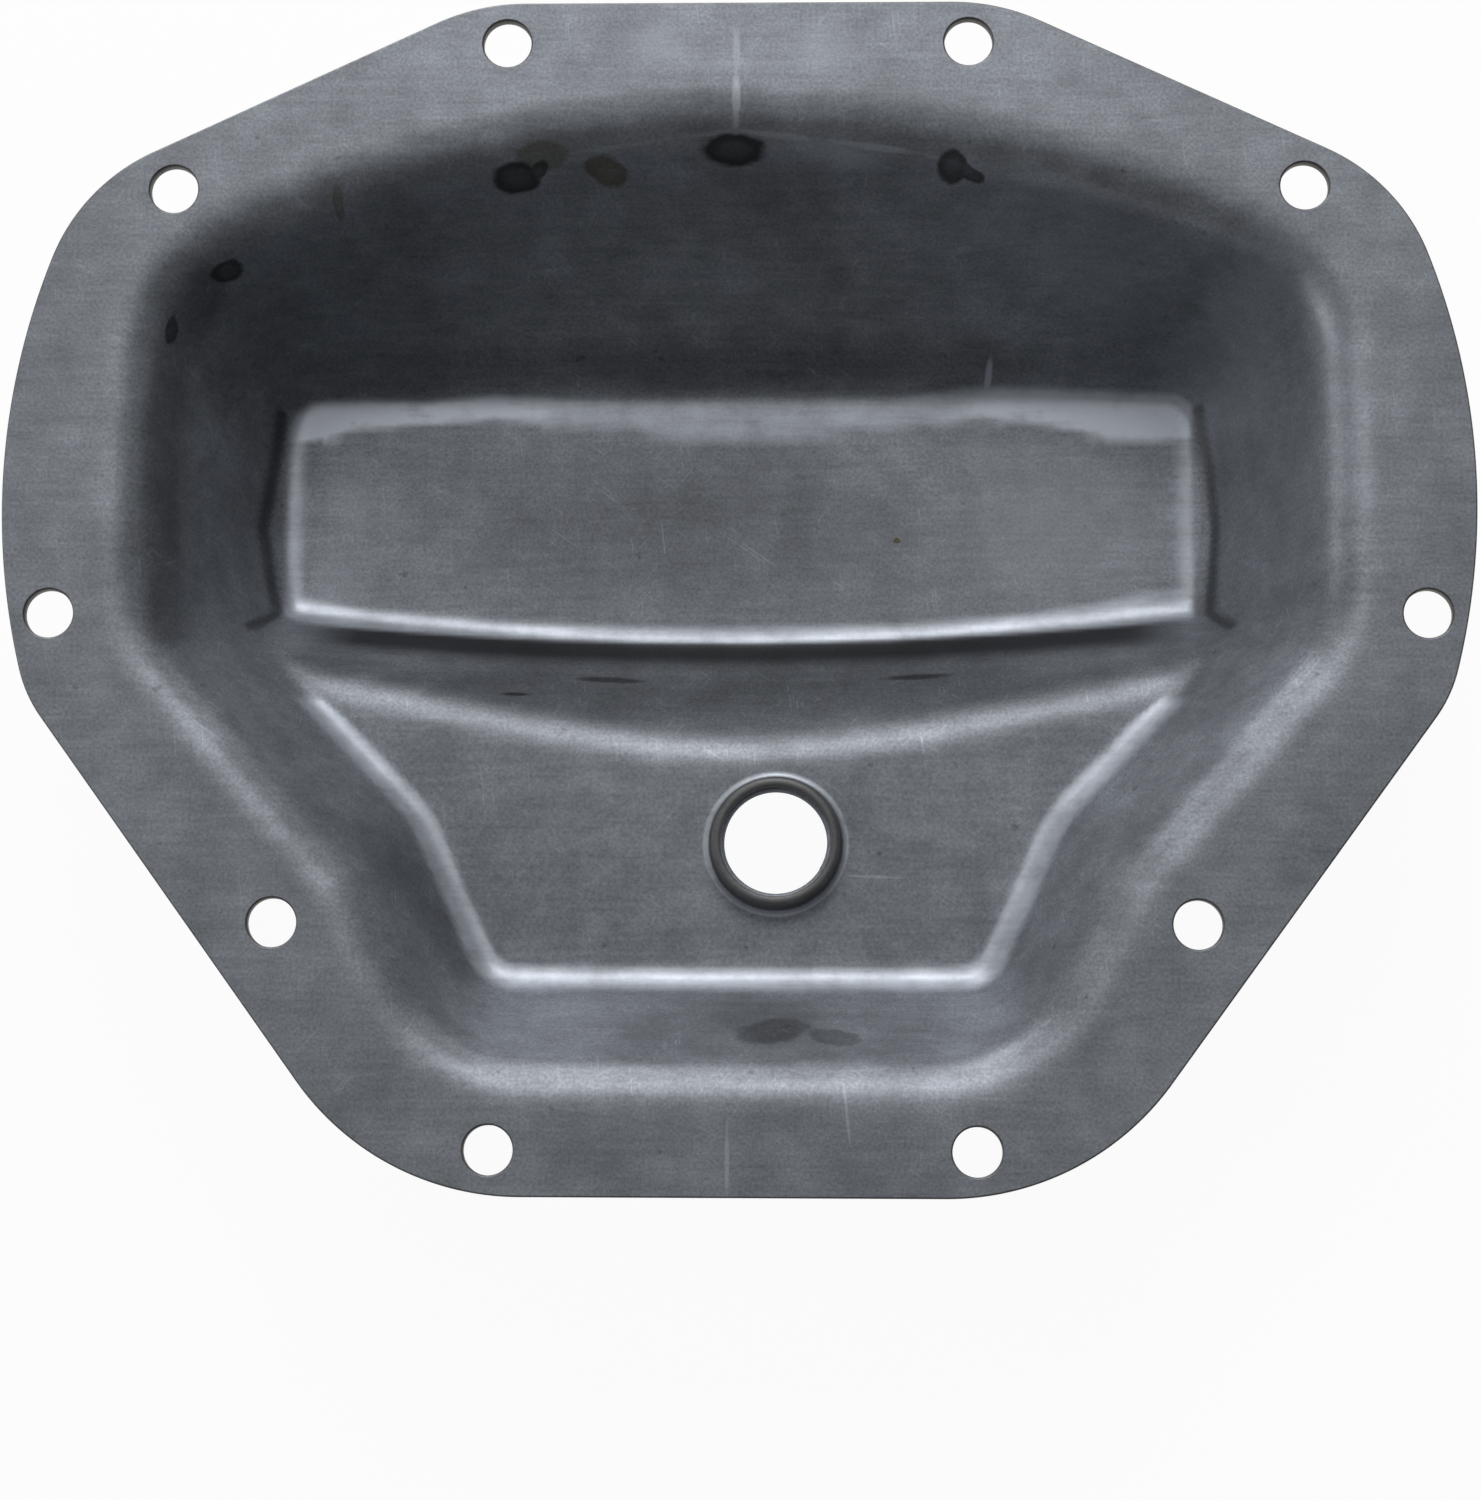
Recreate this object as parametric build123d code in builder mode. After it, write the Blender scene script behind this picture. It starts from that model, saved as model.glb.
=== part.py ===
from build123d import *
from math import atan2, cos, radians, sin, sqrt, tan
import os

# Differential cover: one pan pressed from steel sheet, lying inside up.
# Millimetres and degrees. The gasket face is the plane Z = 0 and the bowl hangs
# below it. X runs along the axle, Y towards the cover's top. The origin is
# midway between the two side bolt holes.

# Sheet and its bends, radii measured on the inside face of the bowl
sheet_thickness = 3.2
rim_bend_radius = 14.0
floor_bend_radius = 7.0
ridge_radius = 17.0
step_foot_radius = 8.5

# Flange outline, its corners before they are rounded
flange_top = 143.5
top_corner_x = 60.1
upper_edge_slope = 25.2
shoulder_drop = 42.3
side_corner_x = 160.5
side_corner_drop = 19.0
side_arc_radius = 162.0
lower_edge_slope = 53.8
flange_bottom = 130.9
top_corner_radius = 48.0
shoulder_corner_radius = 44.0
side_corner_radius = 32.0
bottom_corner_radius = 62.0

# Bolt holes: margins in from the flange's edge, setbacks along it from a corner
bolt_hole_diameter = 11.1
top_bolt_x = 53.3
top_bolt_margin = 9.7
upper_bolt_setback = 17.3
upper_bolt_margin = 10.3
side_bolt_margin = 4.6
lower_bolt_setback = 75.0
lower_bolt_margin = 15.8
bottom_bolt_x = 54.2
bottom_bolt_margin = 10.3

# Flange widths, out to the edge from where the walls would meet the gasket face
top_flange_width = 29.5
upper_flange_width = 28.3
side_flange_width = 26.2
knee_flange_width = 35.0
bottom_flange_width = 27.7

# Depths below the gasket face, to the inside of the sheet
pad_depth = 62.0
plateau_depth = 39.0

# How the walls lean in on their way down to the pad
side_draft = 20.4
bottom_draft = 29.4
mouth_side_bow_height = 0.6
pad_side_bow_height = 4.0
top_wall_run_length = 48.2
top_wall_bulge_height = 5.0
pad_top_bow_height = 1.0

# The diagonal wall bends inwards at a knee beside the lower bolt hole. Its two
# lengths run at these angles to X, at the mouth and at the pad.
knee_draft = 26.0
mouth_knee_setback = 81.4
pad_knee_setback = 58.6
mouth_upper_diagonal_slope = 50.0
pad_upper_diagonal_slope = 43.6
mouth_lower_diagonal_slope = 63.0
pad_lower_diagonal_slope = 68.6

# Plan radii of the bowl's corners: at the mouth, half way down, at the pad
mouth_shoulder_radius = 24.0
middle_shoulder_radius = 26.0
pad_shoulder_radius_margin = 2.0
mouth_elbow_radius = 28.0
middle_elbow_radius = 23.4
pad_elbow_radius = 18.7
mouth_knee_radius = 45.0
middle_knee_radius = 30.0
pad_knee_radius = 18.0
mouth_heel_radius = 36.0
middle_heel_radius = 14.0
pad_heel_radius = 5.0

# Filler hole: a collar drawn up into the bowl and tapped
filler_x = 8.8
filler_bore_radius = 12.9
collar_wall = 2.5
collar_height = 6.0
collar_lip_radius = 1.4
collar_foot_radius = 1.5
filler_entry_radius = 2.0
filler_wall_gap = 16.1

# Step between the plateau and the pad. Its ridge and its foot rise towards the
# sides at these angles to X, each turning over its own width in the middle.
step_run_length = 29.0
ridge_wing_slope = 15.8
ridge_turn_width = 44.0
foot_wing_slope = 5.7
foot_turn_width = 67.0
bend_room_share = 0.97

# Points along half of the step's curve, and how far cuts run past what they cut
step_stations = 6
cut_overrun = 2.0
height_slack = 0.01


def at_height(shapes, z):
    """The shapes whose middle lies at height z."""
    return shapes.filter_by_position(Axis.Z, z - height_slack, z + height_slack)


def between(mouth_value, pad_value, depth):
    """A size that changes evenly from the mouth to the pad, at a depth."""
    return mouth_value + (pad_value - mouth_value) * depth / pad_depth


def arc_drop(half_chord, bow, x):
    """How far an arc of this half chord and bow has fallen at x from its middle."""
    radius = (half_chord**2 + bow**2) / (2 * bow)
    return radius - sqrt(radius**2 - x**2)


def rise(x, wing_slope, turn_width):
    """How far a line with two sloping wings, rounded between them, has risen at x."""
    return tan(radians(wing_slope)) * (sqrt(x**2 + turn_width**2) - turn_width)


# Corners of the flange before rounding, on the +X side
top_corner = Vector(top_corner_x, flange_top)
shoulder_corner = top_corner + Vector(shoulder_drop / tan(radians(upper_edge_slope)), -shoulder_drop)
side_corner = Vector(side_corner_x, -side_corner_drop)
lower_edge_run = (flange_bottom - side_corner_drop) / tan(radians(lower_edge_slope))
bottom_corner = Vector(side_corner_x - lower_edge_run, -flange_bottom)
upper_edge = (top_corner - shoulder_corner).normalized()
lower_edge = (bottom_corner - side_corner).normalized()
lower_edge_inward = lower_edge.rotate(Axis.Z, -90)

# Mouth of the bowl, where its walls would meet the gasket face unbent
mouth_top = flange_top - top_flange_width
mouth_half_width = side_corner_x - side_flange_width
mouth_bottom = flange_bottom - bottom_flange_width
mouth_shoulder_y = (flange_top - (mouth_half_width - top_corner_x) * tan(radians(upper_edge_slope))
                    - upper_flange_width / cos(radians(upper_edge_slope)))

# Filler hole, counted up from the foot of the bottom wall
collar_radius = filler_bore_radius + collar_wall
plateau_foot_y = plateau_depth * tan(radians(bottom_draft)) - mouth_bottom
filler_y = plateau_foot_y + filler_wall_gap + collar_foot_radius + collar_radius

# Step: its two bends share its slope at the ends, where it is steepest, and the
# ridge's bend starts at the collar's foot
step_drop = pad_depth - plateau_depth
plateau_half_width = mouth_half_width - plateau_depth * tan(radians(side_draft))
end_run_length = step_run_length + (rise(plateau_half_width, foot_wing_slope, foot_turn_width)
                                    - rise(plateau_half_width, ridge_wing_slope, ridge_turn_width))
end_bend = atan2(step_drop, end_run_length)
bend_room = bend_room_share * sqrt(step_drop**2 + end_run_length**2) / tan(end_bend / 2)
bend_share = min(1, bend_room / (ridge_radius + step_foot_radius))
ridge_bend_run = ridge_radius * bend_share * tan(atan2(step_drop, step_run_length) / 2)
ridge_middle = filler_y + collar_radius + collar_foot_radius + ridge_bend_run


def top_edge(x, depth):
    """Height Y of the bowl's top wall at x and at a depth."""
    share = depth / pad_depth
    middle = mouth_top - top_wall_run_length * share + 4 * top_wall_bulge_height * share * (1 - share)
    mouth_bow = mouth_top - mouth_shoulder_y
    bow = mouth_bow + (pad_top_bow_height - mouth_bow) * min(share, 1)
    return middle - arc_drop(mouth_half_width - depth * tan(radians(side_draft)), bow, x)


def step_edge(x, depth):
    """Height Y of the step wall at x and at a depth."""
    share = (depth - plateau_depth) / step_drop
    slope = ridge_wing_slope + (foot_wing_slope - ridge_wing_slope) * share
    width = ridge_turn_width + (foot_turn_width - ridge_turn_width) * share
    return ridge_middle + step_run_length * share + rise(x, slope, width)


def grown(edge, x, depth, growth):
    """The same wall moved out square to itself by growth, read at x and depth."""
    nearby = 0.1
    across = (edge(x + nearby, depth) - edge(x - nearby, depth)) / (2 * nearby)
    down = (edge(x, depth + nearby) - edge(x, depth - nearby)) / (2 * nearby)
    return edge(x, depth) + growth * sqrt(1 + across**2 + down**2)


def bowl_section(depth, growth, shoulder_radius, elbow_radius, knee_radius, heel_radius):
    """Plan outline of the bowl at a depth, with its walls moved out by growth."""
    side_lean = tan(radians(side_draft))
    foot_lean = tan(radians(bottom_draft))
    knee_lean = tan(radians(knee_draft))
    upper_slope = radians(between(mouth_upper_diagonal_slope, pad_upper_diagonal_slope, depth))
    lower_slope = radians(between(mouth_lower_diagonal_slope, pad_lower_diagonal_slope, depth))
    side = mouth_half_width - depth * side_lean + growth * sqrt(1 + side_lean**2)
    side_bow = between(mouth_side_bow_height, pad_side_bow_height, depth)
    foot = mouth_bottom - depth * foot_lean + growth * sqrt(1 + foot_lean**2)
    knee_setback = between(mouth_knee_setback, pad_knee_setback, depth)
    knee_width = knee_flange_width + depth * knee_lean - growth * sqrt(1 + knee_lean**2)
    knee = side_corner + lower_edge * knee_setback + lower_edge_inward * knee_width
    elbow = (side, knee.Y + (side - knee.X) * tan(upper_slope))
    heel_x = knee.X - (knee.Y + foot) / tan(lower_slope)
    shoulder = (side, grown(top_edge, side, depth, growth))
    crown = (0, grown(top_edge, 0, depth, growth))
    with BuildSketch(Plane.XY.offset(-depth)) as section:
        with BuildLine():
            ThreePointArc((-side, shoulder[1]), crown, shoulder)
            SagittaArc(shoulder, elbow, side_bow)
            Polyline(elbow, knee, (heel_x, -foot), (-heel_x, -foot), (-knee.X, knee.Y), (-side, elbow[1]))
            SagittaArc((-side, elbow[1]), (-side, shoulder[1]), side_bow)
        make_face()
        fillet(section.vertices().group_by(Axis.Y)[2], elbow_radius + growth)
        fillet(section.vertices().group_by(Axis.Y)[1], knee_radius - growth)
        fillet(section.vertices().group_by(Axis.Y)[0], heel_radius + growth)
        fillet(section.vertices().group_by(Axis.Y)[-1], shoulder_radius + growth)
    return section.sketch


def step_section(depth, growth):
    """Plan outline of the block that fills the bowl below its plateau."""
    reach = mouth_half_width + sheet_thickness
    stations = [reach * station / step_stations for station in range(-step_stations, step_stations + 1)]
    edge = [(x, grown(step_edge, x, depth, -growth)) for x in stations]
    with BuildSketch(Plane.XY.offset(-depth)) as section:
        with BuildLine():
            Spline(*edge)
            Polyline(edge[-1], (reach, -flange_bottom), (-reach, -flange_bottom), edge[0])
        make_face()
    return section.sketch


def bowl(growth):
    """The bowl as a solid, with every face moved out by growth and every bend with it."""
    plateau = plateau_depth + growth
    pad = pad_depth + growth
    pad_shoulder_radius = floor_bend_radius + pad_shoulder_radius_margin
    mouth_radii = (mouth_shoulder_radius, mouth_elbow_radius, mouth_knee_radius, mouth_heel_radius)
    middle_radii = (middle_shoulder_radius, middle_elbow_radius, middle_knee_radius, middle_heel_radius)
    pad_radii = (pad_shoulder_radius, pad_elbow_radius, pad_knee_radius, pad_heel_radius)
    with BuildPart() as body:
        loft([bowl_section(0, growth, *mouth_radii), bowl_section(pad_depth / 2, growth, *middle_radii),
              bowl_section(pad, growth, *pad_radii)])
        loft([step_section(depth, growth) for depth in (plateau, pad + cut_overrun)],
             ruled=True, mode=Mode.SUBTRACT)
        ridge = at_height(body.edges(), -plateau).sort_by(SortBy.LENGTH)[-1]
        fillet(ridge, ridge_radius * bend_share - growth)
        step_foot = at_height(body.edges(), -pad).sort_by(Axis.Y)[0]
        fillet(step_foot, step_foot_radius * bend_share + growth)
        floor = body.faces().filter_by(lambda face: face.bounding_box().max.Z < -plateau_depth / 2)
        walls = body.faces() - floor
        fillet(floor.edges() & walls.edges(), floor_bend_radius + growth)
    return body


with BuildPart() as cover_pan:
    with BuildSketch() as flange_outline:
        mirrored = [Vector(-corner.X, corner.Y)
                    for corner in (bottom_corner, side_corner, shoulder_corner, top_corner)]
        with BuildLine():
            Polyline(shoulder_corner, top_corner, mirrored[3], mirrored[2])
            RadiusArc(mirrored[2], mirrored[1], -side_arc_radius)
            Polyline(mirrored[1], mirrored[0], bottom_corner, side_corner)
            RadiusArc(side_corner, shoulder_corner, -side_arc_radius)
        make_face()
        fillet(flange_outline.vertices().group_by(Axis.Y)[1], side_corner_radius)
        fillet(flange_outline.vertices().group_by(Axis.Y)[-2], shoulder_corner_radius)
        fillet(flange_outline.vertices().group_by(Axis.Y)[0], bottom_corner_radius)
        fillet(flange_outline.vertices().group_by(Axis.Y)[-1], top_corner_radius)
    extrude(amount=-sheet_thickness)

    # The bowl, as the skin between its outer and inner solids
    add(bowl(sheet_thickness))
    add(bowl(0), mode=Mode.SUBTRACT)
    gasket_face = cover_pan.faces().sort_by(Axis.Z)[-1]
    fillet(gasket_face.inner_wires()[0].edges(), rim_bend_radius)
    flange_back = at_height(cover_pan.faces(), -sheet_thickness).sort_by(SortBy.AREA)[-1]
    fillet(flange_back.inner_wires()[0].edges(), rim_bend_radius - sheet_thickness)

    # Bolt holes
    upper_bolt = (shoulder_corner + upper_edge * upper_bolt_setback
                  + upper_edge.rotate(Axis.Z, 90) * upper_bolt_margin)
    lower_bolt = (side_corner + lower_edge * lower_bolt_setback
                  + lower_edge_inward * lower_bolt_margin)
    bolts = [Vector(top_bolt_x, flange_top - top_bolt_margin), upper_bolt,
             Vector(side_corner_x - side_bolt_margin, 0), lower_bolt,
             Vector(bottom_bolt_x, bottom_bolt_margin - flange_bottom)]
    with Locations([(side * bolt.X, bolt.Y) for bolt in bolts for side in (-1, 1)]):
        Hole(bolt_hole_diameter / 2, depth=sheet_thickness)

    # Filler collar and its bore
    with BuildSketch(Plane.XY.offset(-plateau_depth)):
        with Locations((filler_x, filler_y)):
            Circle(collar_radius)
    extrude(amount=collar_height)
    collar_foot = at_height(cover_pan.edges().filter_by(GeomType.CIRCLE), -plateau_depth)
    fillet(collar_foot, collar_foot_radius)
    collar_top = at_height(cover_pan.faces(), collar_height - plateau_depth)
    fillet(collar_top.edges(), collar_lip_radius)
    with Locations((filler_x, filler_y, collar_height - plateau_depth)):
        Hole(filler_bore_radius, depth=collar_height + sheet_thickness)
    bore_edges = cover_pan.edges().filter_by(GeomType.CIRCLE)
    fillet(at_height(bore_edges, -plateau_depth - sheet_thickness), filler_entry_radius)

os.makedirs("parts", exist_ok=True)
cover_pan.part.label = "cover_pan"
export_step(cover_pan.part, "parts/cover_pan.step")
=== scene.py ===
import bpy
import bmesh
import numpy as np
from math import atan2, ceil, cos, pi, radians, sin, sqrt, tan
from mathutils import Matrix, Vector
from mathutils.geometry import delaunay_2d_cdt


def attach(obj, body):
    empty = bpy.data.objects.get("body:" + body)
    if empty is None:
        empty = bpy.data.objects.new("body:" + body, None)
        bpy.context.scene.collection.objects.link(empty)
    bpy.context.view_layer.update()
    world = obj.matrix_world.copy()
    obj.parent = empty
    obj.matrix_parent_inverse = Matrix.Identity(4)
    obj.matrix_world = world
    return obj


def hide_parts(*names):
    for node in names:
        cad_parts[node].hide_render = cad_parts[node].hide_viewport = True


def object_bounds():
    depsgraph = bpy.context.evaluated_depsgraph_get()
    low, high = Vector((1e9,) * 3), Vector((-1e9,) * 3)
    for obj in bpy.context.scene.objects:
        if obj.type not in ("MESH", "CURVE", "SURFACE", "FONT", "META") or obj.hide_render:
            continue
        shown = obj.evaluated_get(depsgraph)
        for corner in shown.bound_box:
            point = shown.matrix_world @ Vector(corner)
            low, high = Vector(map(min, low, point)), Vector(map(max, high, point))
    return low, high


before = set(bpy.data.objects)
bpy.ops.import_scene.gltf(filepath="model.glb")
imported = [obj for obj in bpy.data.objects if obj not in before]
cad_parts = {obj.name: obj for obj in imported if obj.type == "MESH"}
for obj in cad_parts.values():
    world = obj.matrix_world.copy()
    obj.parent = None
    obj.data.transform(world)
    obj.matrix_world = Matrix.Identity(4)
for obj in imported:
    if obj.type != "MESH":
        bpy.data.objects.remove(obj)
cad_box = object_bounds()

# Camera: the photograph's place and lens, in metres and degrees
camera_place = Vector((0.0212, -0.1302, 0.7400))
camera_tilt = 7.62
camera_yaw = 1.53
camera_roll = 0.27
photo_width = 1481
focal_pixels = 3327
sensor_width = 36.0

# The pan, in metres: the numbers of its flange, bolt holes and filler hole
sheet = 0.0032
flange_top = 0.1435
top_corner = Vector((0.0601, flange_top))
upper_edge_slope = 25.2
shoulder_drop = 0.0423
side_corner = Vector((0.1605, -0.0190))
side_arc_radius = 0.162
lower_edge_slope = 53.8
flange_bottom = -0.1309
top_corner_radius = 0.048
shoulder_corner_radius = 0.044
side_corner_radius = 0.032
bottom_corner_radius = 0.062
bolt_hole_radius = 0.00555
bolt_places = [(0.0533, 0.1338), (0.129953, 0.099246), (0.1559, 0.0),
               (0.103455, -0.07019), (0.0542, -0.1206)]
filler_place = np.array((0.0088, -0.048225))
plateau_height = -0.0390

# Profile of the filler collar from the plateau's inside round to its outside. Three
# numbers are a bend: its middle's distance from the hole's middle, its middle's height
# and its radius.
collar_foot = (0.0169, -0.0375, 0.0015)
collar_radius = 0.0154
collar_lip = (0.0140, -0.0344, 0.0014)
bore_radius = 0.0129
bore_top = -0.0330
bore_chamfer = 0.0003
bore_length = 0.0069
entry_bend = (0.0149, -0.0402, 0.0020)
# Rings at which the collar joins the pan's inner and outer face
collar_reach = 0.0174
entry_reach = 0.0157

# Thread in the filler hole, at the pitch of a 3/4 in pipe thread. Its ridge stands
# thread_height into the hole and is sunk into the bore's wall by thread_sunk.
thread_pitch = 0.001814
thread_length = 0.0056
thread_foot = -0.0397
thread_height = 0.0008
thread_sunk = 0.0003
thread_crest_half = 0.00012
thread_root_half = 0.0008

# How finely the pan is divided. A bend is given as the change of slope in a metre, and
# lattice points are left out where it and the slope are slight.
outline_step = 0.0003
collar_segments = 128
collar_bend_steps = 6
bore_steps = 6
bolt_hole_segments = 56
thread_segments = 96
grid_step = 0.0005
grid_margin = 0.004
soften_radius = 0.0012
inside_spacing = 0.0010
outside_spacing = 0.0016
rim_spacing = 0.0014
loop_gap = 0.6
sheared_edge_radius = 0.0004
bend_smoothing = 0.0015
sharp_bend = 9
slight_bend = 0.7
slight_slope = 0.08
mark_surround = 1.6
# CAD triangles that stand nearly on edge, or lie within the collar, are left out of the
# height grid. Between a triangle's corners the height is lifted towards its round form.
edge_on = 0.02
collar_slack = 0.00005
grid_slack = 1e-6
roundness = 0.75
most_lift = 0.0003
weld_distance = 2e-6
# A point this close to the inner face's height belongs to the inside
inside_reach = 0.001
hollow_smoothing = 0.0010

# Marks on the steel, with painted light and shade among them, measured on the photograph: places in metres
# seen from above. The pad's bright bands, rubbed steel with painted highlights, lie between two lines, each
# given by points along it.
pad_band_top = [(-0.1130, 0.0555), (-0.1105, 0.0605), (-0.1070, 0.0632), (-0.1020, 0.0640),
                (-0.0772, 0.0636), (-0.0608, 0.0652), (-0.0344, 0.0638), (0.0378, 0.0641),
                (0.0542, 0.0667), (0.0673, 0.0667), (0.1065, 0.0650), (0.1095, 0.0630),
                (0.1120, 0.0580)]
pad_band_foot = [(-0.1112, 0.0533), (-0.0939, 0.0571), (-0.0774, 0.0583), (-0.0609, 0.0597),
                 (-0.0345, 0.0575), (-0.0114, 0.0545), (0.0133, 0.0545), (0.0379, 0.0576),
                 (0.0592, 0.0597), (0.0772, 0.0574), (0.0919, 0.0547), (0.1082, 0.0540)]
step_band_top = [(-0.1095, 0.0150), (-0.0930, 0.0117), (-0.0601, 0.0086), (-0.0274, 0.0074),
                 (0.0052, 0.0073), (0.0378, 0.0081), (0.0703, 0.0107), (0.0866, 0.0136), (0.1093, 0.0178)]
step_band_foot = [(-0.1133, 0.0099), (-0.1042, 0.0074), (-0.0927, 0.0063), (-0.0600, 0.0042),
                  (-0.0273, 0.0032), (0.0053, 0.0031), (0.0378, 0.0039), (0.0702, 0.0056),
                  (0.0945, 0.0074), (0.1091, 0.0091)]
mark_softness = 0.004
pad_band_softness = 0.0024
step_band_softness = 0.0026
step_band_strength = 0.68
# How strong the pad's top band is at these distances from its palest place
pad_band_palest = 0.005
pad_band_strength = [(0, 0.45), (0.045, 0.60), (0.060, 1.25), (0.12, 1.35)]
pad_half_width = 0.112
pad_middle_x = -0.0010
# The pad's ends are bright too: width and strength, and the lines they lie between
pad_end_width = 0.0065
pad_end_strength = 0.65
pad_end_foot = 0.010
pad_end_top = 0.062
# The plateau's bright rim lies in its bend, below this line and this height
plateau_rim_top = -0.012
plateau_rim_height = -0.0345
plateau_rim_softness = 0.0025
plateau_rim_depth = 0.0008
plateau_rim_strength = 0.75
rim_bend = 40
full_bend = 60
# The painted highlight ring at the collar's foot, and how dark the collar is
collar_ring_strength = 0.6
collar_ring_inset = 0.0002
collar_ring_half_width = 0.0006
collar_ring_height = -0.0380
collar_surround = 0.003
collar_darkness = 0.7
# Painted shade in the groove along the step's foot
groove_width = 0.0085
groove_lead = 0.0008
groove_softness = 0.0014
groove_half_length = 0.112
groove_end_softness = 0.020
groove_darkness = 0.92
# Painted shade: dark lines in the creases at the pad's ends
crease_shade_lines = [[(-0.1136, 0.0597), (-0.1150, 0.0479), (-0.1171, 0.0313), (-0.1151, 0.0181),
                (-0.1133, 0.0098), (-0.1172, 0.0045)],
               [(0.1117, 0.0610), (0.1139, 0.0477), (0.1153, 0.0312), (0.1143, 0.0180),
                (0.1134, 0.0098), (0.1169, 0.0049)]]
crease_shade_half_width = 0.0011
crease_shade_strength = 0.65
# Oil smudges and brown stains: middle, half sizes, turn in degrees, strength
smudges = [(-0.0009, 0.1106, 0.0078, 0.0026, 0, 0.93), (-0.0517, 0.1046, 0.0056, 0.0025, 8, 0.9),
           (-0.0462, 0.1062, 0.0022, 0.0013, 30, 0.8), (0.0497, 0.1063, 0.0036, 0.0028, -20, 0.85),
           (0.0540, 0.1048, 0.0040, 0.0011, -22, 0.8), (-0.1190, 0.0826, 0.0040, 0.0014, 28, 0.85),
           (-0.1313, 0.0680, 0.0010, 0.0036, -12, 0.75), (0.0085, -0.0932, 0.0085, 0.0030, 8, 0.5),
           (0.0225, -0.0947, 0.0065, 0.0019, -8, 0.45)]
stains = [(-0.0453, 0.1087, 0.0062, 0.0026, 8, 0.5), (-0.0307, 0.1067, 0.0050, 0.0024, -12, 0.7),
          (-0.0925, 0.0975, 0.0012, 0.0036, 0, 0.45), (0.0378, 0.0289, 0.0009, 0.0008, 0, 1.0)]
# Thin dark streaks on the step: ends, half width, strength
streaks = [((-0.0400, -0.0069), (-0.0230, -0.0075), 0.0009, 0.7),
           ((0.0340, -0.0069), (0.0510, -0.0061), 0.0009, 0.7),
           ((-0.0568, -0.0117), (-0.0504, -0.0117), 0.0005, 0.8)]
# Fine light lines: their ends, half width, strength
scratches = [((-0.0003, 0.1375), (-0.0003, 0.1255), 0.0010, 0.22),
             ((-0.0003, 0.1260), (-0.0003, 0.1145), 0.0011, 0.42),
             ((-0.0012, -0.1148), (-0.0011, -0.1302), 0.0006, 0.28),
             ((0.0245, -0.1048), (0.0262, -0.1202), 0.0004, 0.26),
             ((0.0252, -0.0557), (0.0385, -0.0562), 0.0004, 0.28),
             ((-0.0394, 0.1092), (-0.0134, 0.1126), 0.0005, 0.14),
             ((-0.0134, 0.1126), (-0.0004, 0.1139), 0.0005, 0.14),
             ((-0.0004, 0.1139), (0.0200, 0.1119), 0.0006, 0.26),
             ((0.0200, 0.1119), (0.0422, 0.1089), 0.0007, 0.26),
             ((0.0422, 0.1089), (0.0570, 0.1050), 0.0005, 0.14),
             ((0.0606, 0.0725), (0.0599, 0.0655), 0.0010, 0.6)]
# Painted highlights: lighter streaks along the mouth's bend and in the corners: half width, strength, line
shines = [(0.0042, 0.12, [(0.1187, 0.0884), (0.1272, 0.0809), (0.1330, 0.0722), (0.1367, 0.0613),
                          (0.1393, 0.0447), (0.1402, 0.0261)]),
          (0.0070, 0.13, [(0.1085, 0.0680), (0.1150, 0.0735), (0.1215, 0.0800)])]
# Darker strips just inside the mouth's bend: half width, strength, line
shadows = [(0.0032, 0.7, [(-0.1230, 0.0800), (-0.1285, 0.0725), (-0.1318, 0.0615), (-0.1330, 0.0454),
                          (-0.1327, 0.0267), (-0.1318, 0.0082), (-0.1305, -0.0035)])]
# Broad patches: darker ones, partly painted shade and partly soft smudges, and lighter ones, partly painted
# sheen and partly wiped steel; middle, half sizes, turn in degrees, strength
shade_and_smudge_patches = [(-0.0150, 0.0320, 0.0700, 0.0260, 0, 0.80), (0.0000, -0.0100, 0.1000, 0.0130, 0, 0.85),
                  (0.0150, -0.0950, 0.0500, 0.0100, 0, 0.35), (-0.0850, -0.0480, 0.0200, 0.0090, -52, 0.35),
                  (0.0000, 0.0720, 0.0900, 0.0060, 0, 0.6), (0.0040, -0.0895, 0.0220, 0.0075, 0, 0.55),
                  (0.0080, -0.0935, 0.0110, 0.0040, 0, 0.8), (0.0080, 0.1000, 0.0220, 0.0100, 0, 0.35)]
# Lighter patches: painted sheen, and wiped steel on the flange's top
sheen_and_wiped_patches = [(0.0780, 0.0330, 0.0300, 0.0240, 0, 0.16), (-0.0180, 0.1330, 0.0100, 0.0060, 0, 0.16),
                  (0.0190, 0.1320, 0.0100, 0.0070, 0, 0.16), (0.0000, 0.1290, 0.0200, 0.0025, 0, 0.12),
                  (0.0246, 0.1092, 0.0110, 0.0022, -8, 0.22), (0.1180, 0.0650, 0.0090, 0.0200, 10, 0.14),
                  (0.0800, 0.0920, 0.0280, 0.0120, -25, 0.10), (0.1260, 0.0300, 0.0100, 0.0280, 0, 0.08),
                  (-0.1000, 0.0180, 0.0080, 0.0100, 0, 0.14), (-0.0960, 0.0400, 0.0070, 0.0060, 0, 0.12)]

# Steel: colours, and how far each part of the mottle swings the tone either way
steel_colour = (0.222, 0.239, 0.267)
# Colour of rubbed steel, also used for painted highlights and sheen
rubbed_and_sheen_colour = (0.58, 0.62, 0.69, 1)
stain_colour = (0.085, 0.068, 0.030, 1)
cut_edge_colour = (0.088, 0.082, 0.074, 1)
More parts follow.
